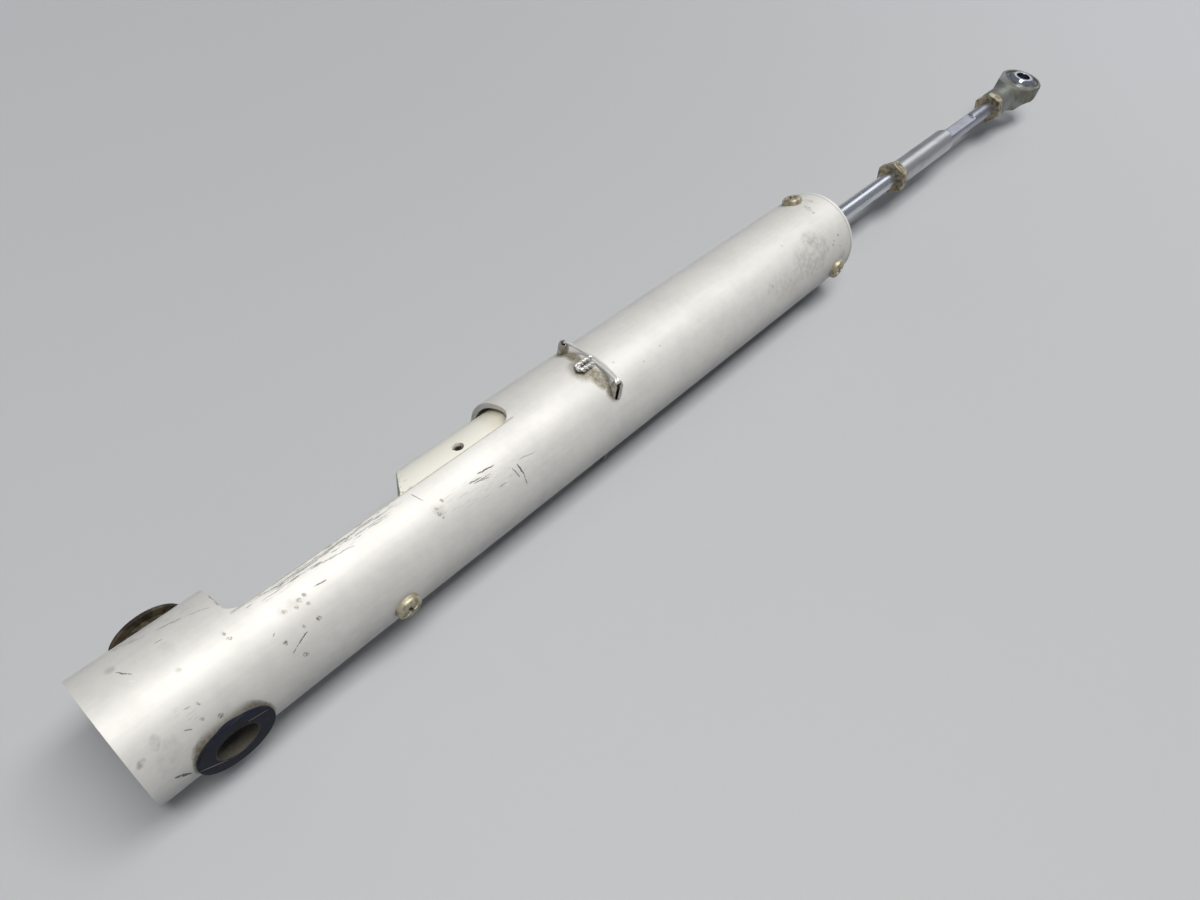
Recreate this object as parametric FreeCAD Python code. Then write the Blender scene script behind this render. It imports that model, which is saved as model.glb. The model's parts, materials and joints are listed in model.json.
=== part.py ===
import FreeCAD, Part
import math
import os

# Roll trim cartridge: a spring-centred push rod in an aluminium tube.
# Millimetres. The origin is the middle of the pivot bore, on the tube's axis.
# +X runs to the rod end, +Y out of the far pivot bushing, +Z up.

V = FreeCAD.Vector

# Running clearances on the radius
SLIDE_FIT = 0.03
SEAT_FIT = 0.01
FREE_FIT = 0.15

# Tube, its stations measured from the open rear end
TUBE_OD = 31.75
TUBE_WALL = 1.47
TUBE_LENGTH = 264.4
PIVOT_STATION = 17.46
WINDOW_START = 29.6
WINDOW_END = 111.2
WINDOW_CORNER = 4.8
WINDOW_CORNER_TRIM = 0.8
STOP_SCREW_STATION = 62.0
STOP_PIN_STATION = 140.3

# Pivot bushings
PIVOT_BORE = 9.525
BUSH_BARREL_OD = 12.7
BUSH_FLANGE_OD = 17.46
BUSH_FLANGE = 0.8
BUSH_REACH = 3.5

# Machine screws with pan heads
SCREW_SHANK = 3.5
SCREW_TIP_WALL = 1.5
SCREW_HEAD_OD = 6.86
SCREW_HEAD = 2.1
SCREW_HEAD_ROUND = 1.2
SCREW_RECESS = 3.6
SCREW_RECESS_WIDTH = 0.75
SCREW_RECESS_DEPTH = 1.1
CAP_SCREW_INSET = 8.7
CAP_SCREW_ANGLES = (-90.0, 30.0, 150.0)

# Slotted spring pins, one size of stock in three lengths
ROLL_PIN_OD = 3.175
ROLL_PIN_WALL = 0.71
ROLL_PIN_SLIT = 0.8
STOP_PIN_INSET = 5.82
NEAR_PIN_SLIT_ANGLE = 230.0
FAR_PIN_SLIT_ANGLE = 20.0
SLIDER_PIN_INSET = 0.65
SLIDER_PIN_ANGLE = 17.0
COLLAR_PIN_INSET = 0.8

# Safety wire between the two stop pins
WIRE_D = 0.81
WIRE_BEND = 0.8
WIRE_LIFT = 0.63
WIRE_DEPTH = 2.4
WIRE_BOW = 1.6
PIGTAIL_D = 1.35
PIGTAIL_LENGTH = 4.6
PIGTAIL_WIDTH = 2.3
PIGTAIL_GAP = 0.15

# End cap and its bushing
CAP_LIP = 1.6
CAP_PLUG = 18.0
CAP_EDGE = 0.5
CAP_BUSH_OD = 12.7
CAP_BUSH_SHOULDER = 1.5

# Springs, their seats and the collar between them
SPRING_WIRE = 2.3
SPRING_OD = 21.6
SPRING_TURNS = 5.5
SPRING_WIRE_SIDES = 8
SEAT_PLATE = 1.6
SEAT_PILOT = 3.0
SEAT_PILOT_OD = 16.2
COLLAR_OD = 22.2
COLLAR_LENGTH = 8.0

# Push rod and the slider on its inner end
ROD_D = 6.35
TRAVEL = 10.0
TRAVEL_GAP = 0.5
SLIDER_GAP = 1.05
SLIDER_BEVEL_SLOPE = 0.66
SLIDER_PIN_STATION = 95.4
SLIDER_END_WALL = 5.0
SLIDER_BORE_GAP = 0.5

# Adjuster: jam nut, coupling, stud with a wrench flat, jam nut
NUT_FLATS = 11.11
NUT_THICK = 3.97
NUT_CHAMFER = 0.5
ROD_EXPOSED = 58.6
ADJUSTER_NUT_TURN = 12.0
COUPLING_OD = 9.6
COUPLING_LENGTH = 44.45
COUPLING_CHAMFER = 0.9
THREAD_DEPTH = 15.0
THREAD_END_GAP = 0.5
STUD_EXPOSED = 44.95
STUD_FLAT_LENGTH = 26.5
STUD_FLAT_DEPTH = 0.8
ROD_END_NUT_TURN = 20.0

# Spherical rod end
EYE_REACH = 33.3
EYE_OD = 19.05
EYE_THICK = 7.14
EYE_EDGE = 0.8
EYE_BORE = 6.35
SHANK_OD = 11.9
SHANK_STRAIGHT = 15.0
SHANK_CHAMFER = 0.8
RACE_OD = 15.6
RACE_WIDTH = 6.2
BALL_D = 13.1
BALL_WIDTH = 9.525
BALL_FIT = 0.03

# Sizes that follow from the ones above
TUBE_R = TUBE_OD / 2
BORE_R = TUBE_R - TUBE_WALL
REAR = -PIVOT_STATION
TUBE_END = REAR + TUBE_LENGTH
ROD_R = ROD_D / 2
PIN_R = ROLL_PIN_OD / 2
SHANK_R = SCREW_SHANK / 2
SCREW_LENGTH = TUBE_R - CAP_BUSH_OD / 2 - SCREW_TIP_WALL
STOP_PIN_LENGTH = TUBE_OD
STOP_PIN_X = REAR + STOP_PIN_STATION
STOP_PIN_Y = TUBE_R - STOP_PIN_INSET
STOP_SCREW_X = REAR + STOP_SCREW_STATION
CAP_SCREW_X = TUBE_END - CAP_SCREW_INSET
SLIDER_R = BORE_R - SLIDER_GAP
SLIDER_REAR = STOP_SCREW_X + SHANK_R + TRAVEL_GAP + TRAVEL
SLIDER_FRONT = STOP_PIN_X - PIN_R - TRAVEL_GAP - TRAVEL
ROD_INNER_END = SLIDER_REAR + SLIDER_END_WALL
REAR_SEAT_X = STOP_PIN_X + PIN_R + SEAT_FIT
FRONT_SEAT_X = TUBE_END - CAP_PLUG
COLLAR_X = (REAR_SEAT_X + FRONT_SEAT_X) / 2
ADJUSTER_NUT_X = TUBE_END + CAP_LIP + ROD_EXPOSED
COUPLING_X = ADJUSTER_NUT_X + NUT_THICK
STUD_X = COUPLING_X + COUPLING_LENGTH
SHANK_X = STUD_X + STUD_EXPOSED + NUT_THICK
EYE_X = SHANK_X + EYE_REACH


def around(angle):
    """Unit vector square to the tube's axis, angle in degrees from +Z towards +Y."""
    a = math.radians(angle)
    return V(0, math.sin(a), math.cos(a))


def cylinder(radius, start, direction, length):
    return Part.makeCylinder(radius, length, start, direction)


def rod_x(radius, x0, x1):
    """Cylinder on the tube's axis from x0 to x1."""
    return cylinder(radius, V(x0, 0, 0), V(1, 0, 0), x1 - x0)


def box(x0, x1, y0, y1, z0, z1):
    return Part.makeBox(x1 - x0, y1 - y0, z1 - z0, V(x0, y0, z0))


def face_of(points):
    """Flat face inside a closed run of straight edges."""
    return Part.Face(Part.makePolygon(points + points[:1]))


def turned(points):
    """Solid turned about X from a half outline of (x, radius) points."""
    return face_of([V(x, 0, r) for x, r in points]).revolve(V(0, 0, 0), V(1, 0, 0), 360)


def rounded(solid, radius, is_chosen):
    """The solid with a fillet on each edge that is_chosen picks."""
    return solid.makeFillet(radius, [edge for edge in solid.Edges if is_chosen(edge)])


# Housing

def window_cutter():
    """Half of the tube's round is milled away down to the axis plane, on the +Y side.

    Both corners of its floor are round, and the rear wall cuts off the top of its corner's round.
    """
    x0 = REAR + WINDOW_START
    x1 = REAR + WINDOW_END
    reach = TUBE_R + 1
    block = box(x0 - WINDOW_CORNER_TRIM, x1, 0, reach, -reach, reach)

    def floor_corner(edge):
        line_up = abs(edge.tangentAt(edge.FirstParameter).z) > 0.99
        return line_up and edge.CenterOfMass.y < 0.01

    return rounded(block, WINDOW_CORNER, floor_corner).common(box(x0, x1, 0, reach, -reach, reach))


def outer_tube():
    tube = rod_x(TUBE_R, REAR, TUBE_END).cut(rod_x(BORE_R, REAR, TUBE_END))
    pivot_hole = cylinder(BUSH_BARREL_OD / 2 + SEAT_FIT, V(0, -TUBE_OD, 0), V(0, 1, 0), 2 * TUBE_OD)
    cuts = [window_cutter(), pivot_hole]
    screw_hole = SHANK_R + SEAT_FIT
    cuts.append(cylinder(screw_hole, V(STOP_SCREW_X, 0, 0), around(-90), TUBE_OD))
    for angle in CAP_SCREW_ANGLES:
        cuts.append(cylinder(screw_hole, V(CAP_SCREW_X, 0, 0), around(angle), TUBE_OD))
    for side in (-1, 1):
        start = V(STOP_PIN_X, side * STOP_PIN_Y, -TUBE_OD)
        cuts.append(cylinder(PIN_R + SEAT_FIT, start, V(0, 0, 1), 2 * TUBE_OD))
    for cutter in cuts:
        tube = tube.cut(cutter)
    return tube


def end_cap():
    plug = rod_x(BORE_R - SEAT_FIT, FRONT_SEAT_X, TUBE_END)
    lip = rod_x(TUBE_R, TUBE_END, TUBE_END + CAP_LIP)

    def outer_rim(edge):
        return edge.BoundBox.XMin > TUBE_END + CAP_LIP / 2

    cap = plug.fuse(rounded(lip, CAP_EDGE, outer_rim)).removeSplitter()
    cap = cap.cut(rod_x(CAP_BUSH_OD / 2, FRONT_SEAT_X + CAP_BUSH_SHOULDER, TUBE_END + CAP_LIP))
    cap = cap.cut(rod_x(ROD_R + FREE_FIT, FRONT_SEAT_X, TUBE_END))
    for angle in CAP_SCREW_ANGLES:
        start = V(CAP_SCREW_X, 0, 0) + around(angle) * (TUBE_R - SCREW_LENGTH - THREAD_END_GAP)
        cap = cap.cut(cylinder(SHANK_R + SEAT_FIT, start, around(angle), TUBE_OD))
    return cap


def cap_bushing():
    x0 = FRONT_SEAT_X + CAP_BUSH_SHOULDER
    bush = rod_x(CAP_BUSH_OD / 2 - SEAT_FIT, x0, TUBE_END + CAP_LIP)
    return bush.cut(rod_x(ROD_R + SLIDE_FIT, x0, TUBE_END + CAP_LIP))


def pan_head_screw(x, angle):
    """Machine screw driven in along a radius, its pan head seated on the tube."""
    up = V(0, 0, 1)
    top = TUBE_R + SCREW_HEAD

    def crown(edge):
        return edge.BoundBox.ZMin > TUBE_R + SCREW_HEAD / 2

    head = rounded(cylinder(SCREW_HEAD_OD / 2, V(0, 0, TUBE_R), up, SCREW_HEAD), SCREW_HEAD_ROUND, crown)
    shank = cylinder(SHANK_R, V(0, 0, TUBE_R - SCREW_LENGTH), up, SCREW_LENGTH)
    long = SCREW_RECESS / 2
    wide = SCREW_RECESS_WIDTH / 2
    slots = box(-long, long, -wide, wide, top - SCREW_RECESS_DEPTH, top)
    slots = slots.fuse(box(-wide, wide, -long, long, top - SCREW_RECESS_DEPTH, top))
    screw = head.fuse(shank).removeSplitter().cut(slots)
    screw.rotate(V(0, 0, 0), V(1, 0, 0), -angle)
    screw.translate(V(x, 0, 0))
    return screw


def pivot_bushing(side):
    """Flanged plastic bushing, its flat flange on the outside of the tube."""
    out = V(0, side, 0)
    inner = BORE_R - BUSH_REACH
    barrel = cylinder(BUSH_BARREL_OD / 2, out * inner, out, TUBE_R - inner)
    flange = cylinder(BUSH_FLANGE_OD / 2, out * TUBE_R, out, BUSH_FLANGE)
    bore = cylinder(PIVOT_BORE / 2, out * inner, out, TUBE_R + BUSH_FLANGE - inner)
    return barrel.fuse(flange).cut(bore).removeSplitter()


def roll_pin(middle, direction, length, slit):
    """Slotted spring pin: an open C rolled from strip, slit on the side of the given vector."""
    start = middle - direction * (length / 2)
    pin = cylinder(PIN_R, start, direction, length)
    pin = pin.cut(cylinder(PIN_R - ROLL_PIN_WALL, start, direction, length))
    across = slit.cross(direction)
    corner = start - across * (ROLL_PIN_SLIT / 2)
    opening = face_of([corner,
                       corner + across * ROLL_PIN_SLIT,
                       corner + across * ROLL_PIN_SLIT + slit * ROLL_PIN_OD,
                       corner + slit * ROLL_PIN_OD])
    return pin.cut(opening.extrude(direction * length))


def stop_pin(side, slit_angle):
    a = math.radians(slit_angle)
    middle = V(STOP_PIN_X, side * STOP_PIN_Y, 0)
    return roll_pin(middle, V(0, 0, 1), STOP_PIN_LENGTH, V(math.cos(a), math.sin(a), 0))


def round_path(points, radius):
    """Wire of straight runs through the points, joined by tangent arcs."""
    edges = []
    last = points[0]
    for before, corner, after in zip(points, points[1:], points[2:]):
        back = (before - corner).normalize()
        ahead = (after - corner).normalize()
        half = back.getAngle(ahead) / 2
        reach = radius / math.tan(half)
        arc_start = corner + back * reach
        arc_end = corner + ahead * reach
        to_centre = (back + ahead).normalize() * (radius / math.sin(half))
        centre = corner + to_centre
        arc_mid = centre - V(to_centre).normalize() * radius
        edges.append(Part.LineSegment(last, arc_start).toShape())
        edges.append(Part.Arc(arc_start, arc_mid, arc_end).toShape())
        last = arc_end
    edges.append(Part.LineSegment(last, points[-1]).toShape())
    return Part.Wire(edges)


def swept(path, radius):
    first = path.Edges[0]
    start = first.valueAt(first.FirstParameter)
    tangent = first.tangentAt(first.FirstParameter)
    section = Part.Wire(Part.makeCircle(radius, start, tangent))
    return path.makePipeShell([section], True, False)


def safety_wire():
    """Wire from pin to pin over the crown, and the twisted pigtail folded down beside it."""
    top = STOP_PIN_LENGTH / 2
    high = max(top, TUBE_R) + WIRE_LIFT
    low = top - WIRE_DEPTH
    x = STOP_PIN_X
    y = STOP_PIN_Y
    middle = V(x + WIRE_BOW, 0, high)
    strand = swept(round_path([V(x, y, low), V(x, y, high), middle, V(x, -y, high), V(x, -y, low)],
                              WIRE_BEND), WIRE_D / 2)
    near = middle.x - WIRE_D / 2 - PIGTAIL_D / 2 - PIGTAIL_GAP
    z = TUBE_R + PIGTAIL_D / 2 + PIGTAIL_GAP
    w = PIGTAIL_WIDTH / 2
    fold = round_path([V(near, w, z), V(near - PIGTAIL_LENGTH, w, z),
                       V(near - PIGTAIL_LENGTH, -w, z), V(near, -w, z)], w * 0.98)
    return Part.makeCompound([strand, swept(fold, PIGTAIL_D / 2)])


def spring_seat(x, side):
    """Plate across the bore with a pilot for the spring, facing along side times X."""
    plate = sorted((x, x + side * SEAT_PLATE))
    pilot = sorted((x, x + side * (SEAT_PLATE + SEAT_PILOT)))
    seat = rod_x(BORE_R - FREE_FIT, plate[0], plate[1]).fuse(rod_x(SEAT_PILOT_OD / 2, pilot[0], pilot[1]))
    return seat.cut(rod_x(ROD_R + FREE_FIT, pilot[0], pilot[1])).removeSplitter()


def spring(x0, x1):
    """Compression spring between two faces, its ends ground flat and its wire an even polygon."""
    x0 += SEAT_FIT
    x1 -= SEAT_FIT
    wire_r = SPRING_WIRE / 2
    pitch = (x1 - x0) / SPRING_TURNS
    helix = Part.makeHelix(pitch, x1 - x0 + pitch / 2, SPRING_OD / 2 - wire_r)
    helix.Placement = FreeCAD.Placement(V(x0 - pitch / 4, 0, 0), FreeCAD.Rotation(V(0, 1, 0), 90))
    start = helix.Edges[0].valueAt(helix.Edges[0].FirstParameter)
    tangent = helix.Edges[0].tangentAt(helix.Edges[0].FirstParameter)
    radial = V(0, start.y, start.z).normalize()
    square = tangent.cross(radial)
    section = []
    for i in range(SPRING_WIRE_SIDES):
        a = 2 * math.pi * (i + 0.5) / SPRING_WIRE_SIDES
        section.append(start + radial * (wire_r * math.cos(a)) + square * (wire_r * math.sin(a)))
    sweep = Part.BRepOffsetAPI.MakePipeShell(Part.Wire(helix.Edges))
    sweep.setBiNormalMode(V(1, 0, 0))
    sweep.add(Part.makePolygon(section + section[:1]))
    sweep.build()
    sweep.makeSolid()
    return sweep.shape().common(rod_x(SPRING_OD, x0, x1))


# Sliding shaft

def push_rod():
    rod = rod_x(ROD_R, ROD_INNER_END, COUPLING_X + THREAD_DEPTH)
    for x, angle, length in pins_on_rod():
        start = V(x, 0, 0) - around(angle) * (length / 2)
        rod = rod.cut(cylinder(PIN_R + SEAT_FIT, start, around(angle), length))
    return rod


def pins_on_rod():
    """Station, direction and length of the spring pins that cross the rod."""
    return [(REAR + SLIDER_PIN_STATION, SLIDER_PIN_ANGLE, 2 * (SLIDER_R - SLIDER_PIN_INSET)),
            (COLLAR_X, 0.0, COLLAR_OD - 2 * COLLAR_PIN_INSET)]


def cross_pin(x, angle, length):
    return roll_pin(V(x, 0, 0), around(angle), length, V(1, 0, 0))


def slider():
    """Plastic slider, square below the axis and bevelled back on the window side."""
    body = rod_x(SLIDER_R, SLIDER_REAR, SLIDER_FRONT)
    r = TUBE_OD
    bevel = face_of([V(SLIDER_REAR - 1, 0, -r), V(SLIDER_REAR, 0, -r),
                     V(SLIDER_REAR + SLIDER_BEVEL_SLOPE * r, r, -r), V(SLIDER_REAR - 1, r, -r)])
    body = body.cut(bevel.extrude(V(0, 0, 2 * r)))
    body = body.cut(rod_x(ROD_R + SEAT_FIT, ROD_INNER_END - SLIDER_BORE_GAP, SLIDER_FRONT))
    hole = cylinder(PIN_R + SEAT_FIT, V(REAR + SLIDER_PIN_STATION, 0, 0) - around(SLIDER_PIN_ANGLE) * r,
                    around(SLIDER_PIN_ANGLE), 2 * r)
    return body.cut(hole)


def spring_collar():
    x0 = COLLAR_X - COLLAR_LENGTH / 2
    x1 = COLLAR_X + COLLAR_LENGTH / 2
    collar = rod_x(COLLAR_OD / 2, x0, x1).cut(rod_x(ROD_R + SEAT_FIT, x0, x1))
    return collar.cut(cylinder(PIN_R + SEAT_FIT, V(COLLAR_X, 0, -COLLAR_OD), V(0, 0, 1), 2 * COLLAR_OD))


def jam_nut(x, turn):
    """Thin hexagon nut with both faces chamfered."""
    corner_r = NUT_FLATS / 2 / math.cos(math.pi / 6)
    corners = [V(x, 0, 0) + around(60 * i + turn) * corner_r for i in range(6)]
    hexagon = face_of(corners).extrude(V(NUT_THICK, 0, 0))
    flat_r = NUT_FLATS / 2
    blank = turned([(x, 0), (x, flat_r), (x + NUT_CHAMFER, corner_r + SEAT_FIT),
                    (x + NUT_THICK - NUT_CHAMFER, corner_r + SEAT_FIT),
                    (x + NUT_THICK, flat_r), (x + NUT_THICK, 0)])
    return hexagon.common(blank).cut(rod_x(ROD_R + SEAT_FIT, x, x + NUT_THICK))


def adjuster_coupling():
    r = COUPLING_OD / 2
    c = COUPLING_CHAMFER
    sleeve = turned([(COUPLING_X, 0), (COUPLING_X, r), (STUD_X - c, r), (STUD_X, r - c), (STUD_X, 0)])
    depth = THREAD_DEPTH + THREAD_END_GAP
    sleeve = sleeve.cut(rod_x(ROD_R + SEAT_FIT, COUPLING_X, COUPLING_X + depth))
    return sleeve.cut(rod_x(ROD_R + SEAT_FIT, STUD_X - depth, STUD_X))


def rod_end_stud():
    stud = rod_x(ROD_R, STUD_X - THREAD_DEPTH, SHANK_X + THREAD_DEPTH)
    flat = box(STUD_X + THREAD_END_GAP, STUD_X + STUD_FLAT_LENGTH, -ROD_D, ROD_D, ROD_R - STUD_FLAT_DEPTH, ROD_D)
    return stud.cut(flat)


def rod_end_body():
    """Round shank that thins and widens into the eye, with the race's seat bored through."""
    half_eye = EYE_THICK / 2
    r = EYE_OD / 2
    e = EYE_EDGE
    eye = face_of([V(EYE_X, 0, -half_eye), V(EYE_X + r - e, 0, -half_eye), V(EYE_X + r, 0, -half_eye + e),
                   V(EYE_X + r, 0, half_eye - e), V(EYE_X + r - e, 0, half_eye), V(EYE_X, 0, half_eye)])
    eye = eye.revolve(V(EYE_X, 0, 0), V(0, 0, 1), 360)

    s = SHANK_OD / 2
    c = SHANK_CHAMFER
    neck_x = SHANK_X + SHANK_STRAIGHT
    shank = turned([(SHANK_X, 0), (SHANK_X, s - c), (SHANK_X + c, s), (neck_x, s), (EYE_X, EYE_OD), (EYE_X, 0)])

    # In plan the sides leave the shank and meet the eye at a tangent
    away = math.hypot(EYE_X - neck_x, s)
    turn = math.acos(r / away) + math.atan2(s, EYE_X - neck_x)
    tangent_x = EYE_X - r * math.cos(turn)
    tangent_y = r * math.sin(turn)
    upper = [(SHANK_X, s), (neck_x, s), (tangent_x, tangent_y), (EYE_X, tangent_y)]
    plan = face_of([V(x, y, -r) for x, y in upper] + [V(x, -y, -r) for x, y in reversed(upper)])

    # From the side it thins down to the eye's faces
    thin_x = EYE_X - r + e
    top = [(SHANK_X, s), (neck_x, s), (thin_x, half_eye), (EYE_X, half_eye)]
    side = face_of([V(x, -r, z) for x, z in top] + [V(x, -r, -z) for x, z in reversed(top)])

    neck = shank.common(plan.extrude(V(0, 0, 2 * r))).common(side.extrude(V(0, 2 * r, 0)))
    body = eye.fuse(neck).removeSplitter()
    body = body.cut(cylinder(RACE_OD / 2 + SEAT_FIT, V(EYE_X, 0, -r), V(0, 0, 1), 2 * r))
    return body.cut(rod_x(ROD_R + SEAT_FIT, SHANK_X, SHANK_X + THREAD_DEPTH + THREAD_END_GAP))


def rod_end_race():
    ring = cylinder(RACE_OD / 2, V(EYE_X, 0, -RACE_WIDTH / 2), V(0, 0, 1), RACE_WIDTH)
    return ring.cut(Part.makeSphere(BALL_D / 2 + BALL_FIT, V(EYE_X, 0, 0)))


def rod_end_ball():
    ball = Part.makeSphere(BALL_D / 2, V(EYE_X, 0, 0))
    slab = cylinder(BALL_D, V(EYE_X, 0, -BALL_WIDTH / 2), V(0, 0, 1), BALL_WIDTH)
    return ball.common(slab).cut(cylinder(EYE_BORE / 2, V(EYE_X, 0, -BALL_WIDTH), V(0, 0, 1), 2 * BALL_WIDTH))


def nodes():
    """Every piece by the name of its node."""
    collar_x0 = COLLAR_X - COLLAR_LENGTH / 2
    collar_x1 = COLLAR_X + COLLAR_LENGTH / 2
    slider_pin, collar_pin = [cross_pin(*pin) for pin in pins_on_rod()]
    return {
        "outer_tube": outer_tube(),
        "end_cap": end_cap(),
        "cap_bushing": cap_bushing(),
        "cap_screws": Part.makeCompound([pan_head_screw(CAP_SCREW_X, a) for a in CAP_SCREW_ANGLES]),
        "pivot_bushing_near": pivot_bushing(-1),
        "pivot_bushing_far": pivot_bushing(1),
        "stop_screw": pan_head_screw(STOP_SCREW_X, -90),
        "stop_pin_near": stop_pin(-1, NEAR_PIN_SLIT_ANGLE),
        "stop_pin_far": stop_pin(1, FAR_PIN_SLIT_ANGLE),
        "safety_wire": safety_wire(),
        "rear_spring_seat": spring_seat(REAR_SEAT_X, 1),
        "front_spring_seat": spring_seat(FRONT_SEAT_X, -1),
        "rear_spring": spring(REAR_SEAT_X + SEAT_PLATE, collar_x0),
        "front_spring": spring(collar_x1, FRONT_SEAT_X - SEAT_PLATE),
        "push_rod": push_rod(),
        "slider": slider(),
        "slider_pin": slider_pin,
        "spring_collar": spring_collar(),
        "collar_pin": collar_pin,
        "adjuster_jam_nut": jam_nut(ADJUSTER_NUT_X, ADJUSTER_NUT_TURN),
        "adjuster_coupling": adjuster_coupling(),
        "rod_end_stud": rod_end_stud(),
        "rod_end_jam_nut": jam_nut(STUD_X + STUD_EXPOSED, ROD_END_NUT_TURN),
        "rod_end_body": rod_end_body(),
        "rod_end_race": rod_end_race(),
        "rod_end_ball": rod_end_ball(),
    }


def main():
    os.makedirs("parts", exist_ok=True)
    for name, shape in nodes().items():
        if not shape.isValid():
            raise ValueError(name + " is not a valid shape")
        shape.exportStep("parts/" + name + ".step")
        print(f"{name:20s} solids {len(shape.Solids)}  volume {shape.Volume:9.1f}  "
              f"x {shape.BoundBox.XMin:7.2f} to {shape.BoundBox.XMax:7.2f}")


main()
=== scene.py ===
import json
import math

import bmesh
import bpy
from mathutils import Matrix, Quaternion, Vector

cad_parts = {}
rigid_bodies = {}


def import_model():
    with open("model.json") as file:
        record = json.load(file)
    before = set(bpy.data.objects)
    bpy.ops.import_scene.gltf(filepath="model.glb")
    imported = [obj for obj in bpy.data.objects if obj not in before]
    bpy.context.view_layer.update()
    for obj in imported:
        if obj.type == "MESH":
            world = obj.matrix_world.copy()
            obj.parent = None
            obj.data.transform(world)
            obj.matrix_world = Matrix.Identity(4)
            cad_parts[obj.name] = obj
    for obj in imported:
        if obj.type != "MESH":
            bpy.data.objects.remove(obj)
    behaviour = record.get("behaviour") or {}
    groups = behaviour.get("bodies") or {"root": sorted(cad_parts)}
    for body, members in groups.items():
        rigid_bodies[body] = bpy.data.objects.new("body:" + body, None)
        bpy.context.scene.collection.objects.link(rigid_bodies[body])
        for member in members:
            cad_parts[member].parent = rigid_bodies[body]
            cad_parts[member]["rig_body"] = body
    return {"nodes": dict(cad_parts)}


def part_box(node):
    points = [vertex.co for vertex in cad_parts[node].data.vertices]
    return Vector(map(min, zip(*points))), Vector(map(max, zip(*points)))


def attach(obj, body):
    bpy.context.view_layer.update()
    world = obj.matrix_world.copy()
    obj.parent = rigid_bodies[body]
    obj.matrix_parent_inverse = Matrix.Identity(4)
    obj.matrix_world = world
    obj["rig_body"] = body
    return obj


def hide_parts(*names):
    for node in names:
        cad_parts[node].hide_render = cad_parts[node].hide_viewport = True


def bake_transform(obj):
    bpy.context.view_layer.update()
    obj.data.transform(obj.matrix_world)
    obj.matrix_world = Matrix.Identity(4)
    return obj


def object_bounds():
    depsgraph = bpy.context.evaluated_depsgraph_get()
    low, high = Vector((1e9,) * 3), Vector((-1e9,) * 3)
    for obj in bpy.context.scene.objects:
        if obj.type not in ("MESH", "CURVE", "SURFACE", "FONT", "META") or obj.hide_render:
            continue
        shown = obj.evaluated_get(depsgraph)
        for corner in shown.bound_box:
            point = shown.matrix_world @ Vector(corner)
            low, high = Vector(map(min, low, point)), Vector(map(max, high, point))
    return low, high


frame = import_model()
cad_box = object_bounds()
nodes = frame["nodes"]

MM = 0.001

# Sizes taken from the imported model, in millimetres where they aren't vectors
tube_low, tube_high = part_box("outer_tube")
tube_radius = tube_high.y / MM
tube_end = tube_high.x / MM
slider_low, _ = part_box("slider")
slider_rear = slider_low.x / MM

# The photograph's viewpoint in the part's own frame
CAMERA_EYE = Vector((-13.75, -96.37, 181.24)) * MM
CAMERA_TARGET = Vector((113.07, -15.24, 0.0)) * MM
CAMERA_ROLL = math.radians(12.14)
CAMERA_LENS = 25.56
CAMERA_SENSOR = 36.0

FLOOR_SIZE = 5.0
FLOOR_MIDDLE = 180.0
FLOOR_COLOUR = (0.52, 0.53, 0.55)
FLOOR_BOUNCE = (0.08, 0.085, 0.10)
FLOOR_GLOW = (0.33, 0.335, 0.345)
FLOOR_LIT = 900.0
WORLD_COLOUR = (0.88, 0.92, 1.0)
WORLD_STRENGTH = 0.09
WORLD_SEEN = 0.28

# Softboxes: name, place, the point that each faces, length, width, power and colour
SOFTBOXES = [
    ("key", (0.18, -0.13, 0.89), (0.18, 0.0, 0.0), 1.00, 0.36, 8.4, (1.0, 0.985, 0.955)),
    ("back", (1.55, 0.12, 0.85), (0.25, 0.0, 0.0), 0.55, 0.80, 1.8, (0.95, 0.97, 1.0)),
    ("fill", (-0.60, -0.50, 0.50), (0.12, 0.0, 0.0), 0.60, 0.60, 0.15, (0.90, 0.94, 1.0)),
]

# Screws, with the angles of their seats run from +Z towards +Y and the turns of their recesses
CAP_SCREW_ANGLES = (-90.0, 30.0, 150.0)
CAP_SCREW_TURNS = (25.0, 10.0, 60.0)
STOP_SCREW_ANGLE = -90.0
STOP_SCREW_TURN = 20.0
SCREW_HEAD_R = 3.43
SCREW_HEAD = 2.1
SCREW_HEAD_ROUND = 1.1
SCREW_DOME = 0.2
SCREW_SHANK_R = 1.75
SCREW_LENGTH = 8.0
SCREW_TIP = 0.4
RECESS_REACH = 1.95
RECESS_HALF = 0.36
RECESS_SLOPE = 0.22
RECESS_DEPTH = 1.2

# Slotted spring pins
PIN_R = 1.5875
PIN_BORE_R = 0.8775
PIN_SLIT = 0.8
PIN_CHAMFER = 0.22
NEAR_SLIT_ANGLE = 230.0
FAR_SLIT_ANGLE = 20.0
SLIDER_PIN_LENGTH = 25.4
SLIDER_PIN_ANGLE = 17.0

# Safety wire: its bend on the crown, and the twisted pigtail beside it
WIRE_R = 0.44
WIRE_BEND = 0.9
WIRE_DIP = 2.6
PIGTAIL_STRAND_R = 0.43
PIGTAIL_PITCH = 2.6

# Springs, with a closed turn at each end and a part of its wire's radius ground away
SPRING_WIRE_R = 1.15
SPRING_TURNS = 7.5
SPRING_STEPS = 40
SPRING_INSET = 0.8

# Tube, with its window's ends along X
TUBE_WALL = 1.47
TUBE_SIDES = 192
WINDOW_REAR = 12.14
WINDOW_FRONT = 93.74
WINDOW_CORNER = 4.8
WINDOW_CORNER_TRIM = 0.8
BUSHING_BARREL_R = 6.35
HOLE_FIT = 0.02
FLANGE_R = 8.73
PIVOT_BORE_R = 4.7625

# Rod end body: the size of its mesh and how far its edges are smoothed away
FORGING_GRAIN = 0.22
FORGING_FLOW = 14

EDGE_ANGLE = math.radians(35)


# Node trees written as expressions

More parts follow.
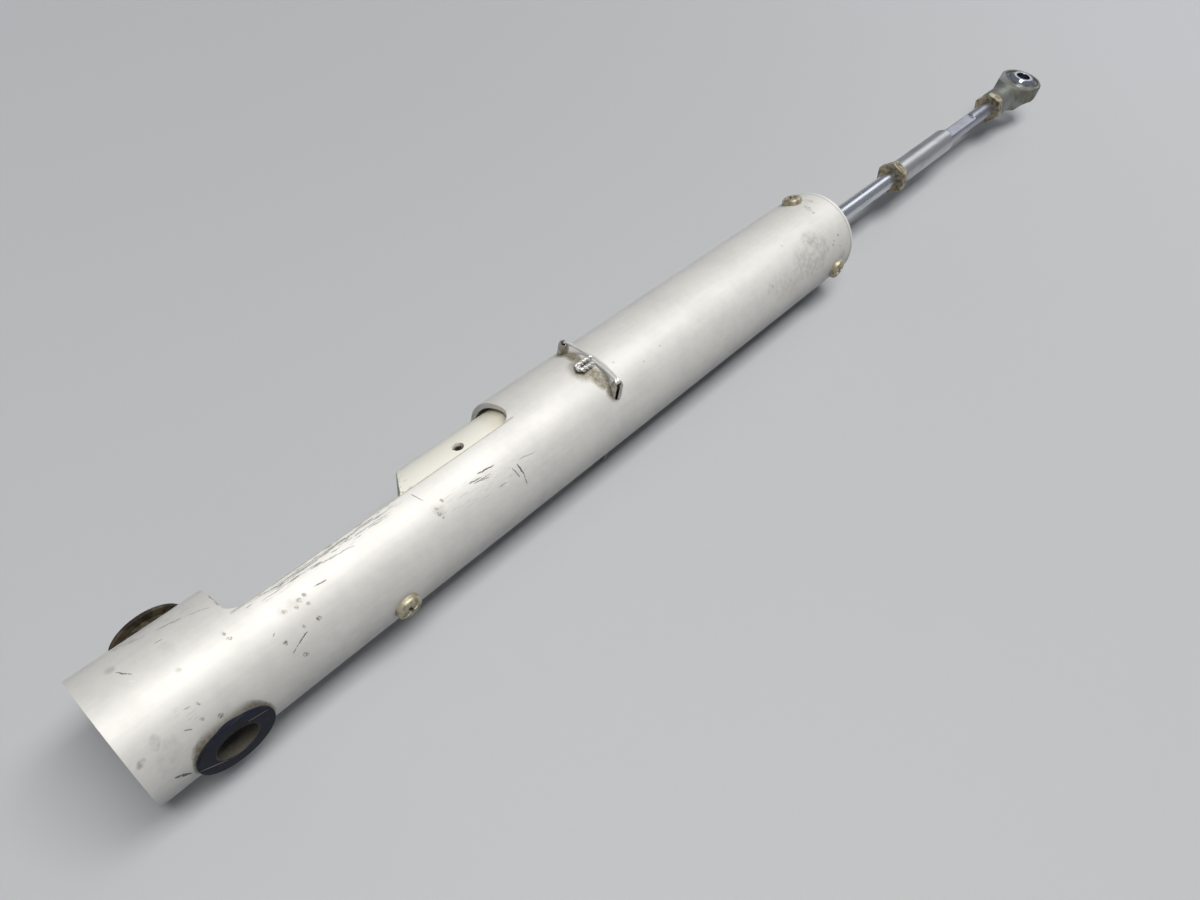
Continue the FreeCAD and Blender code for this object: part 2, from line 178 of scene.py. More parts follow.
class Value:
    """A socket of a node tree, on which Python's arithmetic adds Math nodes."""

    def __init__(self, tree, socket):
        self.tree = tree
        self.socket = socket

    def __add__(self, other):
        return self.tree.math("ADD", self, other)

    def __radd__(self, other):
        return self.tree.math("ADD", other, self)

    def __sub__(self, other):
        return self.tree.math("SUBTRACT", self, other)

    def __rsub__(self, other):
        return self.tree.math("SUBTRACT", other, self)

    def __mul__(self, other):
        return self.tree.math("MULTIPLY", self, other)

    def __rmul__(self, other):
        return self.tree.math("MULTIPLY", other, self)

    def __truediv__(self, other):
        return self.tree.math("DIVIDE", self, other)

    def __neg__(self):
        return self.tree.math("MULTIPLY", self, -1.0)


class Tree:
    """A node tree with short ways to add what this file uses."""

    def __init__(self, node_tree):
        self.node_tree = node_tree

    def node(self, kind, settings=None, inputs=None, output=0):
        """Add a node, its settings before the values or links of its sockets, and give one output."""
        made = self.node_tree.nodes.new(kind)
        for name, value in (settings or {}).items():
            setattr(made, name, value)
        for name, value in (inputs or {}).items():
            if isinstance(value, Value):
                self.node_tree.links.new(value.socket, made.inputs[name])
            else:
                made.inputs[name].default_value = value
        return Value(self, made.outputs[output])

    def math(self, operation, *terms):
        return self.node("ShaderNodeMath", {"operation": operation}, dict(enumerate(terms)))

    def vector_math(self, operation, *terms, output=0):
        settings = {"operation": operation}
        return self.node("ShaderNodeVectorMath", settings, dict(enumerate(terms)), output)

    def parts(self, vector):
        """The three components of a vector."""
        split = self.node("ShaderNodeSeparateXYZ", inputs={0: vector}).socket.node
        return [Value(self, socket) for socket in split.outputs]

    def vector(self, x, y, z):
        return self.node("ShaderNodeCombineXYZ", inputs={0: x, 1: y, 2: z})

    def step(self, value, low, high):
        """Rises smoothly from 0 at low to 1 at high, or falls where high is the lower."""
        rising = high > low
        settings = {"interpolation_type": "SMOOTHSTEP"}
        limits = {0: value, 1: min(low, high), 2: max(low, high), 3: 0.0 if rising else 1.0,
                  4: 1.0 if rising else 0.0}
        return self.node("ShaderNodeMapRange", settings, limits)


class Finish(Tree):
    """A procedural material. Lengths inside it are millimetres."""

    def __init__(self, name):
        self.material = bpy.data.materials.new(name)
        self.material.use_nodes = True
        super().__init__(self.material.node_tree)
        self.shader = self.node_tree.nodes["Principled BSDF"]
        place = self.node("ShaderNodeTexCoord", output="Object")
        self.place = self.vector_math("MULTIPLY", place, (1 / MM, 1 / MM, 1 / MM))

    def mix(self, factor, first, second):
        """Blend of two colours."""
        inputs = {0: factor, 6: self.colour(first), 7: self.colour(second)}
        return self.node("ShaderNodeMix", {"data_type": "RGBA"}, inputs, output=2)

    def colour(self, value):
        return value if isinstance(value, Value) else (*value, 1.0)

    def noise(self, size, vector=None, stretch=(1.0, 1.0, 1.0), detail=3.0, distortion=0.0):
        """Smooth noise from 0 to 1 with features of about the given size."""
        where = self.vector_math("DIVIDE", vector or self.place, stretch)
        inputs = {"Vector": where, "Scale": 1 / size, "Detail": detail, "Distortion": distortion}
        return self.node("ShaderNodeTexNoise", inputs=inputs)

    def bump(self, height, distance, strength=1.0):
        """Surface normal of a height given in millimetres of depth at 1."""
        inputs = {"Height": height, "Distance": distance * MM, "Strength": strength}
        return self.node("ShaderNodeBump", inputs=inputs)

    def made(self, colour, roughness, metallic=0.0, normal=None, **sockets):
        inputs = {"Base Color": self.colour(colour), "Roughness": roughness, "Metallic": metallic}
        if normal:
            inputs["Normal"] = normal
        for name, value in {**inputs, **sockets}.items():
            if isinstance(value, Value):
                self.node_tree.links.new(value.socket, self.shader.inputs[name])
            else:
                self.shader.inputs[name].default_value = value
        return self.material


# Colours of wear and dirt, and of painted shade
SMUDGE_AND_SHADOW_GREY = (0.27, 0.25, 0.22)
DIRT_AND_SHADE_BROWN = (0.19, 0.16, 0.095)
CHIP_BROWN = (0.13, 0.09, 0.06)
SCRATCH_DARK = (0.06, 0.055, 0.06)
SCRATCH_BRIGHT = (0.95, 0.95, 0.93)
SEAM_BROWN = (0.30, 0.26, 0.18)
RECESS_SHADE_AND_GRIME = (0.04, 0.035, 0.025)

# Where the photograph shows marks on the tube, some of them partly painted shade: x and angle of both
# ends, width, strength
TUBE_SCRATCHES = [
    (-9.6, 15.0, -7.6, 5.0, 0.35, 0.80),
    (0.4, 30.1, 5.7, 24.0, 0.35, 0.60),
    (5.7, 24.0, 10.7, 15.8, 0.25, 0.40),
    (-1.4, 18.0, 0.4, 16.0, 0.35, 0.60),
    (-12.5, -79.5, -9.6, -89.0, 0.80, 0.95),
    (-4.8, -37.3, -3.2, -38.5, 0.45, 0.40),
    (-6.7, -50.6, -5.4, -53.7, 0.45, 0.60),
    (-6.7, 47.3, -5.1, 41.1, 0.40, 0.45),
    (16.6, -31.9, 16.0, -33.7, 0.35, 0.50),
    (22.1, -45.9, 19.4, -50.2, 0.42, 0.90),
    (19.4, -50.2, 17.4, -53.0, 0.32, 0.70),
    (18.4, -6.6, 31.4, -7.3, 0.25, 0.55),
    (18.0, -2.0, 36.0, -5.0, 0.25, 0.65),
    (22.0, -5.0, 47.0, -3.5, 0.25, 0.55),
    (27.0, -2.5, 55.0, -4.5, 0.25, 0.60),
    (30.0, -8.0, 41.0, -13.0, 0.28, 0.60),
    (38.0, -6.0, 52.0, -7.5, 0.25, 0.55),
    (28.4, -20.9, 31.4, -22.1, 0.40, 0.80),
    (58.7, -5.2, 59.7, -15.7, 0.35, 0.75),
    (71.4, -27.3, 75.2, -28.7, 0.40, 0.75),
    (74.7, -24.4, 80.0, -26.7, 0.45, 0.95),
    (72.4, -29.6, 77.7, -31.1, 0.38, 0.65),
    (74.7, -31.2, 77.0, -32.9, 0.35, 0.60),
    (85.3, -37.6, 85.6, -49.9, 0.55, 0.95),
    (85.6, -49.9, 85.3, -60.4, 0.40, 0.75),
    (83.6, -38.4, 84.3, -50.2, 0.42, 0.75),
    (86.3, -35.9, 91.1, -38.9, 0.28, 0.50),
    (77.4, -46.2, 80.2, -46.0, 0.35, 0.50),
]
TUBE_BRIGHT_SCRATCHES = [
    (79.8, -45.2, 81.2, -44.5, 0.45, 0.9),
    (79.6, -48.5, 80.8, -48.5, 0.40, 0.7),
    (-9.0, 2.0, -7.9, -1.0, 0.35, 0.5),
]
TUBE_SPOTS = [
    (-2.2, -39.2, 0.8, 0.60),
    (-0.3, -57.2, 1.3, 0.75),
    (-3.2, -50.8, 1.0, 0.45),
    (-1.4, -12.0, 1.0, 0.30),
    (9.0, -9.3, 0.9, 0.55),
    (9.2, -14.7, 0.9, 0.55),
    (17.1, -41.8, 1.1, 0.85),
    (19.3, -59.8, 1.2, 0.70),
    (21.9, -40.4, 0.8, 0.60),
    (22.9, -24.9, 1.0, 0.55),
    (24.2, -22.1, 1.1, 0.60),
    (25.6, -20.2, 0.9, 0.60),
    (20.5, -22.4, 1.1, 0.45),
    (25.4, -28.1, 0.9, 0.45),
    (25.3, -41.9, 1.2, 0.90),
    (63.2, -24.0, 0.9, 0.55),
    (61.0, -27.0, 1.0, 0.50),
    (60.8, -32.0, 1.0, 0.45),
    (61.2, -37.0, 0.8, 0.45),
    (128.1, -12.7, 0.8, 0.35),
    (136.7, -29.8, 0.7, 0.40),
    (144.8, -26.4, 0.7, 0.45),
    (198.5, -48.0, 0.9, 0.40),
    (212.1, -15.8, 0.8, 0.40),
    (236.2, -4.8, 1.2, 0.50),
    (237.6, 5.0, 0.8, 0.45),
    (239.8, -45.5, 1.2, 0.75),
    (236.5, -48.6, 0.9, 0.55),
    (235.5, -52.9, 1.0, 0.65),
    (239.5, -59.9, 0.8, 0.50),
]
TUBE_SMUDGES_AND_SHADOW = [
    (-10.4, 23.0, -9.8, 19.0, 2.8, 0.50),
    (-7.6, 46.0, -3.1, 36.0, 3.4, 0.45),
    (-11.0, -39.0, -12.2, -50.0, 2.4, 0.45),
    (-16.4, -52.0, -14.6, -48.8, 1.9, 0.95),
    (-9.0, -48.0, -13.5, -72.0, 6.0, 0.22),
    (-0.9, 12.0, 0.2, 2.0, 4.0, 0.20),
    (19.6, -21.1, 26.0, -23.0, 3.5, 0.20),
    (16.0, -1.5, 48.0, -3.0, 2.6, 0.30),
    (60.4, -26.0, 62.5, -34.0, 3.5, 0.30),
    (223.0, -26.0, 232.0, -52.0, 11.0, 0.50),
    (214.0, -46.0, 229.0, -60.0, 16.0, 0.38),
    (196.0, -50.0, 216.0, -66.0, 12.0, 0.25),
    # painted shadow as well as dirt: this smudge lies under the top cap screw
    (237.6, 9.0, 236.4, -3.0, 3.0, 0.55),
    (241.0, 22.0, 242.0, 8.0, 3.0, 0.45),
    (243.0, -78.0, 240.0, -74.0, 5.0, 0.50),
]
TUBE_RUBS = [
    (15.0, -5.0, 58.0, -4.5, 4.6, 0.75),
    (-6.0, 44.0, 9.0, 24.0, 6.0, 0.40),
    (-6.0, -33.0, -3.0, -50.0, 3.5, 0.35),
    (60.0, -30.0, 92.0, -42.0, 9.0, 0.25),
]
# brown dirt, with painted contact shade at the stop pins' feet and along the near flange's edge
TUBE_GRIME_AND_SHADE = [
    (121.8, 40.0, 121.6, 30.0, 5.2, 1.00),
    (122.2, 30.0, 121.0, 8.0, 5.0, 0.95),
    (119.6, 9.0, 118.6, -9.0, 9.0, 0.75),
    (117.0, 1.0, 119.6, -7.5, 3.6, 1.00),
    (120.6, -6.0, 121.6, -30.0, 6.6, 0.95),
    (121.6, -32.0, 122.6, -44.0, 5.6, 1.00),
    (12.2, 33.0, 12.3, 8.0, 0.9, 0.70),
    (12.6, 7.0, 15.5, 0.5, 0.8, 0.60),
    (-6.0, -66.0, -8.2, -76.0, 2.2, 0.55),
]

# Marks on the near bushing's flange: x and z of both ends, width, strength
FLANGE_SCRATCHES = [
    (-8.6, 0.1, -3.2, -4.1, 0.40, 0.9),
    (3.2, 4.9, 7.7, 3.5, 0.35, 0.9),
    (-2.6, -4.9, 1.4, -5.0, 0.30, 0.5),
]


# Finishes

def skin(finish, radius):
    """Place on a round tube laid flat: along it, and round it from the crown."""
    x, y, z = finish.parts(finish.place)
    return finish.vector(x, finish.math("ARCTAN2", y, z) * radius, 0.0)


def unrolled(places, radius):
    """Marks on a tube with their angles turned into millimetres round it."""
    scale = math.radians(1) * radius
    return [(x0, angle0 * scale, x1, angle1 * scale, width, strength)
            for x0, angle0, x1, angle1, width, strength in places]


def marks(finish, where, places, softness):
    """The strongest of a list of strokes, each an ellipse about its two ends, from 0 to 1."""
    strongest = 0.0
    for x0, y0, x1, y1, width, strength in places:
        ends = [finish.vector_math("DISTANCE", where, end, output="Value")
                for end in ((x0, y0, 0.0), (x1, y1, 0.0))]
        length = math.hypot(x1 - x0, y1 - y0)
        inside = finish.step(ends[0] + ends[1], math.hypot(length, width),
                             math.hypot(length, width * (1 - softness)))
        strongest = finish.math("MAXIMUM", strongest, inside * strength)
    return strongest


def anodised(name, radius, pale, dark, scuffed=False):
    """Satin clear-anodised aluminium, blasted fine, with the tube's own scuffs and dirt and, where
    scuffed, painted shade.
    """
    finish = Finish(name)
    where = skin(finish, radius)
    blast = finish.noise(0.22, detail=2.0)
    cloud = finish.noise(14.0, detail=4.0)
    streak = finish.noise(0.9, vector=where, stretch=(22.0, 1.0, 1.0), detail=2.0)
    mottle = finish.noise(2.6, detail=6.0)
    grey = finish.step(cloud * 0.5 + streak * 0.2 + mottle * 0.3, 0.38, 0.66)
    colour = finish.mix(grey * 0.6, pale, dark)
    roughness = 0.50 + blast * 0.08 + cloud * 0.06
    height = blast
    if scuffed:
        colour, roughness, height = tube_wear(finish, where, radius, colour, roughness, height)
    x, _, _ = finish.parts(finish.place)
    seam = finish.step(finish.math("ABSOLUTE", x - tube_end), 0.50, 0.10) * 0.45
    colour = finish.mix(seam, colour, SEAM_BROWN)
    return finish.made(colour, roughness, 0.30, finish.bump(height, 0.012))


def tube_wear(finish, where, radius, colour, roughness, height):
    """The tube's scratches, chips, smudges and dirt, with painted shade and a painted shadow among them,
    laid over its bare finish.
    """
    inputs = {"Vector": where, "Scale": 0.6, "Detail": 3.0}
    wobble = finish.node("ShaderNodeTexNoise", inputs=inputs, output=1)
    shift = finish.vector_math("MULTIPLY_ADD", wobble, (0.9, 0.9, 0.0), (-0.45, -0.45, 0.0))
    bent = finish.vector_math("ADD", where, shift)
    broken = finish.step(finish.noise(0.5, detail=4.0), 0.28, 0.46)
    scratch = marks(finish, bent, unrolled(TUBE_SCRATCHES, radius), 0.5) * broken
    hair = finish.step(finish.noise(0.30, vector=where, stretch=(14.0, 1.0, 1.0)), 0.58, 0.66)
    rub = marks(finish, bent, unrolled(TUBE_RUBS, radius), 1.0) * hair
    scratch = finish.math("MAXIMUM", scratch, rub)
    bright = marks(finish, bent, unrolled(TUBE_BRIGHT_SCRATCHES, radius), 0.5)
    spots = [(x, angle, x + 0.4, angle - 2.0, size * 1.1, strength)
             for x, angle, size, strength in TUBE_SPOTS]
    chipped = finish.step(finish.noise(0.35, detail=5.0), 0.36, 0.56)
    spot = marks(finish, bent, unrolled(spots, radius), 0.6) * chipped
    cloudy = finish.step(finish.noise(1.6, detail=9.0), 0.22, 0.82)
    # smudges, one of them a painted shadow under the top cap screw
    smudge_and_shadow = marks(finish, bent, unrolled(TUBE_SMUDGES_AND_SHADOW, radius), 1.0) * cloudy
    colour = finish.mix(smudge_and_shadow, colour, SMUDGE_AND_SHADOW_GREY)
    # brown dirt and painted shade, mixed in one colour
    colour = finish.mix(grime_and_shade(finish, bent, radius), colour, DIRT_AND_SHADE_BROWN)
    colour = finish.mix(spot, colour, CHIP_BROWN)
    colour = finish.mix(scratch, colour, SCRATCH_DARK)
    colour = finish.mix(bright, colour, SCRATCH_BRIGHT)
    dull = finish.math("MAXIMUM", smudge_and_shadow, spot)
    return colour, roughness + dull * 0.25, height - scratch * 2.0


def grime_and_shade(finish, where, radius):
    """Brown dirt along the safety wire and round the near bushing, with painted shade at the stop pins'
    feet and round the near bushing's flange, and a painted shade line on the window's edge.
    """
    speckle = finish.step(finish.noise(0.7, detail=6.0), 0.25, 0.70)
    patches = marks(finish, where, unrolled(TUBE_GRIME_AND_SHADE, radius), 0.75)
    x, y, z = finish.parts(finish.place)
    from_pivot = finish.vector_math("LENGTH", finish.vector(x, 0.0, z), output="Value")
    # painted shade, with brown dirt: a ring on the tube round the near bushing's flange, for the shade
    # in the gap under its edge
    close = finish.step(-y, radius - 2.2, radius - 1.0)
    flange = finish.step(from_pivot, FLANGE_R + 0.8, FLANGE_R + 0.1) * close * 0.85
    # painted shade: a dark line along the window's long edges, for the gap between slider and tube
    past_rear = finish.step(x, WINDOW_REAR, WINDOW_REAR + 1.0)
    beside_window = past_rear * finish.step(x, WINDOW_FRONT, WINDOW_FRONT - 1.0)
    edge = finish.step(finish.math("ABSOLUTE", y), 0.40, 0.10) * beside_window * 0.55
    # dirt and painted shade together
    dirt = finish.math("MAXIMUM", patches, flange)
    return finish.math("MAXIMUM", dirt, edge) * (0.62 + speckle * 0.38)


def black_plastic(name, plain, soiled, dirt, scratches=()):
    """Moulded bearing plastic, rubbed and scratched, browner where it is dirty, its bore pale from wear
    and from painted light.
    """
    finish = Finish(name)
    fine = finish.noise(0.4, detail=4.0)
    hair = finish.noise(0.35, stretch=(18.0, 1.0, 6.0), detail=2.0)
    rub = finish.step(hair, 0.60, 0.72) * 0.18
    soil = finish.step(finish.noise(2.2, detail=5.0), 0.42, 0.62) * dirt
    colour = finish.mix(rub, plain, (0.10, 0.11, 0.14))
    colour = finish.mix(soil, colour, soiled)
    x, _, z = finish.parts(finish.place)
    if scratches:
        scratch = marks(finish, finish.vector(x, z, 0.0), scratches, 0.6)
        colour = finish.mix(scratch, colour, (0.42, 0.43, 0.46))
    from_pivot = finish.vector_math("LENGTH", finish.vector(x, 0.0, z), output="Value")
    # painted light, with wear: the whole bore wall is made paler, standing in for the light on its lower
    # wall
    worn_and_lit = finish.step(from_pivot, PIVOT_BORE_R + 0.35, PIVOT_BORE_R + 0.05)
    colour = finish.mix(worn_and_lit * (0.3 + fine * 0.7), colour, (0.16, 0.145, 0.11))
    return finish.made(colour, 0.42 + fine * 0.2 + soil * 0.2, 0.0, finish.bump(fine, 0.02),
                       **{"Specular IOR Level": 0.1})


def ivory_plastic():
    """Machined natural plastic, yellowed a little, its rear end scuffed grey."""
    finish = Finish("ivory_plastic")
    x, _, _ = finish.parts(finish.place)
    cloud = finish.noise(7.0, detail=3.0)
    turned = finish.noise(0.35, stretch=(1.0, 30.0, 30.0), detail=2.0)
    colour = finish.mix(cloud, (0.96, 0.95, 0.87), (0.92, 0.90, 0.79))
    at_end = finish.step(x, slider_rear + 7.0, slider_rear + 2.0)
    scuff = finish.step(finish.noise(1.4, detail=6.0), 0.54, 0.62) * at_end
    colour = finish.mix(scuff * 0.6, colour, (0.22, 0.21, 0.20))
    at_mouth = finish.step(x, WINDOW_FRONT - 8.0, WINDOW_FRONT - 0.5)
    colour = finish.mix(at_mouth * (0.15 + cloud * 0.5), colour, (0.44, 0.36, 0.21))
    return finish.made(colour, 0.42 + turned * 0.12, 0.0, finish.bump(turned, 0.015), **{"IOR": 1.49})


def plated(name, bright, dark, roughness, size=0.9, metallic=0.9):
    """Metal plate that has dulled unevenly to a darker colour."""
    finish = Finish(name)
    patch = finish.step(finish.noise(size, detail=5.0), 0.40, 0.66)
    fine = finish.noise(0.18, detail=3.0)
    colour = finish.mix(patch, bright, dark)
    # painted shade, with grime: the screw heads' cross recesses are darkened by their depth
    recess = finish.node("ShaderNodeAttribute", {"attribute_name": "recess"}, output="Fac")
    colour = finish.mix(finish.step(recess, 0.15, 0.8) * 0.85, colour, RECESS_SHADE_AND_GRIME)
    rough = roughness + patch * 0.16 + fine * 0.08
    return finish.made(colour, rough, metallic, finish.bump(fine, 0.008))


def lock_wire(name, low, high, metallic):
    """Bright stainless wire, its underside painted dark below the given heights, as shade."""
    finish = Finish(name)
    _, _, z = finish.parts(finish.place)
    fine = finish.noise(0.3, detail=4.0)
    # painted shade: the lower side of the wire is darkened by its height
    colour = finish.mix(finish.step(z + fine * 0.2, high, low), (0.88, 0.87, 0.84), (0.09, 0.08, 0.055))
    return finish.made(colour, 0.28 + fine * 0.1, metallic)


def polished(name, colour, roughness, grain=(1.0, 40.0, 40.0)):
    """Ground or drawn bar, with the faint lines that this leaves: rings, or streaks along it."""
    finish = Finish(name)
    ring = finish.noise(0.16, stretch=grain, detail=2.0)
    smear = finish.noise(5.0, stretch=(2.0, 1.0, 1.0), detail=4.0)
    darker = tuple(c * 0.78 for c in colour)
    shade = finish.mix(finish.step(smear, 0.45, 0.75), colour, darker)
    return finish.made(shade, roughness + ring * 0.05 + smear * 0.08, 1.0, finish.bump(ring, 0.002))


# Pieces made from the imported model's own forms

bodies = {node: nodes[node]["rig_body"] for node in nodes}


def piece(name, mesh, *replaced):
    """Show a finished mesh in place of CAD nodes, on their body."""
    made = bpy.data.objects.new(name, mesh)
    bpy.context.scene.collection.objects.link(made)
    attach(made, bodies[replaced[0]])
    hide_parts(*replaced)
    return made


def applied(source, name):
    """The mesh of an object with its modifiers applied; the object itself is removed."""
    depsgraph = bpy.context.evaluated_depsgraph_get()
    mesh = bpy.data.meshes.new_from_object(source.evaluated_get(depsgraph), depsgraph=depsgraph)
    mesh.name = name
    bpy.data.objects.remove(source)
    return mesh


def smooth(mesh):
    """Smooth shading that stops at real edges."""
    mesh.shade_smooth()
    mesh.set_sharp_from_angle(angle=EDGE_ANGLE)
    return mesh


def broken_edges(name, mesh, edge):
    """A mesh with its sharp edges bevelled, by a width in millimetres, and shaded by its large faces."""
    source = bpy.data.objects.new(name, smooth(mesh))
    bpy.context.scene.collection.objects.link(source)
    bevel = source.modifiers.new("edges", "BEVEL")
    bevel.width = edge * MM
    bevel.segments = 2
    bevel.limit_method = "ANGLE"
    bevel.angle_limit = EDGE_ANGLE
    shading = source.modifiers.new("shading", "WEIGHTED_NORMAL")
    shading.keep_sharp = True
    return applied(source, name)


def dressed(node, edge, material):
    """A CAD node's own shape with its sharp edges broken by a small bevel."""
    work = bmesh.new()
    work.from_mesh(nodes[node].data)
    bmesh.ops.remove_doubles(work, verts=work.verts, dist=0.0005 * MM)
    bmesh.ops.dissolve_limit(work, angle_limit=math.radians(0.5), verts=work.verts, edges=work.edges)
    mesh = bpy.data.meshes.new(node)
    work.to_mesh(mesh)
    work.free()
    mesh.materials.clear()
    mesh.materials.append(material)
    return piece(node + "_finished", broken_edges(node, mesh, edge), node)


def forged(node, material):
    """A CAD node's own shape with its faces run together as on a forging."""
    source = bpy.data.objects.new(node, nodes[node].data.copy())
    bpy.context.scene.collection.objects.link(source)
    source.data.materials.clear()
    source.data.materials.append(material)
    skin_over = source.modifiers.new("skin", "REMESH")
    skin_over.mode = "VOXEL"
    skin_over.voxel_size = FORGING_GRAIN * MM
    flow = source.modifiers.new("flow", "SMOOTH")
    flow.factor = 0.5
    flow.iterations = FORGING_FLOW
    piece(node + "_finished", smooth(applied(source, node)), node)


def centre(node):
    low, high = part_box(node)
    return (low + high) / 2


def rod(start, direction, radius, length, sides=64):
    """Vertices and faces of a closed cylinder from a point along a direction."""
    direction = Vector(direction)
    across = direction.orthogonal().normalized()
    beside = direction.cross(across)
    vertices = []
    for end in (start, start + direction * length):
        for i in range(sides):
            a = 2 * math.pi * i / sides
            vertices.append(end + (across * math.cos(a) + beside * math.sin(a)) * radius)
    faces = [(i, (i + 1) % sides, sides + (i + 1) % sides, sides + i) for i in range(sides)]
    faces += [tuple(reversed(range(sides))), tuple(range(sides, 2 * sides))]
    return vertices, faces


def window_prism():
    """The block milled away on the +Y side: round corners, the rear one cut short by its wall."""
    r = WINDOW_CORNER
    reach = tube_radius + 5
    outline = [(WINDOW_REAR, reach)]
    short = math.acos(1 - WINDOW_CORNER_TRIM / r)
    rear = (WINDOW_REAR - WINDOW_CORNER_TRIM + r, math.pi + short, 1.5 * math.pi)
    front = (WINDOW_FRONT - r, 1.5 * math.pi, 2 * math.pi)
    for middle, first, last in (rear, front):
        for i in range(17):
            a = first + (last - first) * i / 16
            outline.append((middle + r * math.cos(a), r + r * math.sin(a)))
    outline.append((WINDOW_FRONT, reach))
    vertices = [Vector((x, y, z)) for z in (-reach, reach) for x, y in outline]
    count = len(outline)
    faces = [(i, (i + 1) % count, count + (i + 1) % count, count + i) for i in range(count)]
    faces += [tuple(reversed(range(count))), tuple(range(count, 2 * count))]
    return vertices, faces


def solid(name, *shapes):
    """Object of several closed shapes, each its vertices in millimetres and its faces."""
    vertices = []
    faces = []
    for points, sides in shapes:
        faces += [tuple(len(vertices) + i for i in face) for face in sides]
        vertices += [point * MM for point in points]
    mesh = bpy.data.meshes.new(name)
    mesh.from_pydata(vertices, [], faces)
    made = bpy.data.objects.new(name, mesh)
    bpy.context.scene.collection.objects.link(made)
    return made


def tube_holes():
    """Everything that is cut from the tube: its bore, the window and the holes for its fittings."""
    long = 4 * tube_radius
    up = Vector((0, 0, 1))
    along = Vector((1, 0, 0))
    yield rod(Vector((tube_low.x / MM - 1, 0, 0)), along, tube_radius - TUBE_WALL,
              (tube_high.x - tube_low.x) / MM + 2, TUBE_SIDES)
    yield window_prism()
    yield rod(Vector((0, -long / 2, 0)), (0, 1, 0), BUSHING_BARREL_R + HOLE_FIT, long)
    seats = [(centre("stop_screw").x, STOP_SCREW_ANGLE)]
    seats += [(centre("cap_screws").x, angle) for angle in CAP_SCREW_ANGLES]
    for x, angle in seats:
        yield rod(Vector((x / MM, 0, 0)) + around(angle) * tube_radius / 2, around(angle),
                  SCREW_SHANK_R + HOLE_FIT, long / 4, 32)
    for node in ("stop_pin_near", "stop_pin_far"):
        middle = centre(node) / MM
        yield rod(middle - up * long / 2, up, PIN_R + HOLE_FIT, long, 32)


def outer_tube():
    """The tube as one even shell, so that its satin shading has no breaks."""
    start = Vector((tube_low.x / MM, 0, 0))
    length = (tube_high.x - tube_low.x) / MM
    body = solid("outer_tube", rod(start, (1, 0, 0), tube_radius, length, TUBE_SIDES))
    bore, window, *holes = tube_holes()
    cutters = [solid("cutter", shape) for shape in (bore, window)] + [solid("cutter", *holes)]
    for cutter in cutters:
        cut = body.modifiers.new("cut", "BOOLEAN")
        cut.object = cutter
        cut.operation = "DIFFERENCE"
        cut.solver = "EXACT"
    body.data.materials.append(tube_metal)
    mesh = applied(body, "outer_tube_cut")
    for cutter in cutters:
        bpy.data.objects.remove(cutter)
    piece("outer_tube_finished", broken_edges("outer_tube", mesh, 0.18), "outer_tube")


# Pieces built here in place of plain CAD ones

class Shape(Tree):
    """A Geometry Nodes tree with a named input for each of its sizes, in millimetres."""

    def __init__(self, name, **sizes):
        super().__init__(bpy.data.node_groups.new(name, "GeometryNodeTree"))
        self.sizes = sizes
        interface = self.node_tree.interface
        interface.new_socket("Geometry", in_out="INPUT", socket_type="NodeSocketGeometry")
        interface.new_socket("Geometry", in_out="OUTPUT", socket_type="NodeSocketGeometry")
        for size in sizes:
            interface.new_socket(size, in_out="INPUT", socket_type="NodeSocketFloat")
        group = self.node_tree.nodes.new("NodeGroupInput")
        self.base = Value(self, group.outputs["Geometry"])
        self.size = {size: Value(self, group.outputs[size]) * MM for size in sizes}

    def tube(self, curve, radius, sides):
        """Round wire along a curve, its ends closed."""
        inputs = {"Resolution": sides, "Radius": radius}
        section = self.node("GeometryNodeCurvePrimitiveCircle", inputs=inputs)
        return self.node("GeometryNodeCurveToMesh", inputs={0: curve, 1: section, "Fill Caps": True})

    def route(self, bend):
        """The base's edges as curves with rounded corners."""
        curve = self.node("GeometryNodeMeshToCurve", inputs={0: self.base})
        inputs = {"Curve": curve, "Count": 8, "Radius": bend, "Limit Radius": True}
        return self.node("GeometryNodeFilletCurve", {"mode": "POLY"}, inputs)

    def join(self, *geometries):
        joined = self.node("GeometryNodeJoinGeometry")
        for geometry in geometries:
            self.node_tree.links.new(geometry.socket, joined.socket.node.inputs[0])
        return joined

    def mesh(self, geometry, material, base, name):
        """Run the tree on a base mesh and keep the result, in the given material."""
        real = self.node("GeometryNodeRealizeInstances", inputs={0: geometry})
        dressed = self.node("GeometryNodeSetMaterial", inputs={0: real, "Material": material})
        end = self.node_tree.nodes.new("NodeGroupOutput")
        self.node_tree.links.new(dressed.socket, end.inputs[0])
        source = bpy.data.objects.new(name, base)
        bpy.context.scene.collection.objects.link(source)
        modifier = source.modifiers.new(name, "NODES")
        modifier.node_group = self.node_tree
        for socket in self.node_tree.interface.items_tree:
            if socket.in_out == "INPUT" and socket.name in self.sizes:
                modifier[socket.identifier] = self.sizes[socket.name]
        return smooth(applied(source, name))


def around(angle):
    """Unit vector square to the tube's axis, at degrees from +Z towards +Y."""
    a = math.radians(angle)
    return Vector((0.0, math.sin(a), math.cos(a)))


def rise(value, low, high):
    """Smooth step from 0 at low to 1 at high."""
    t = min(max((value - low) / (high - low), 0.0), 1.0)
    return t * t * (3 - 2 * t)


def recess_depth(x, y):
    """Depth of the cross recess below the head's top at a point of it."""
    def arm(along, across):
        sides = 1 - rise(abs(across), RECESS_HALF - RECESS_SLOPE / 2, RECESS_HALF + RECESS_SLOPE / 2)
        return sides * (1 - rise(abs(along), RECESS_REACH * 0.55, RECESS_REACH))
    return RECESS_DEPTH * max(arm(x, y), arm(y, x))


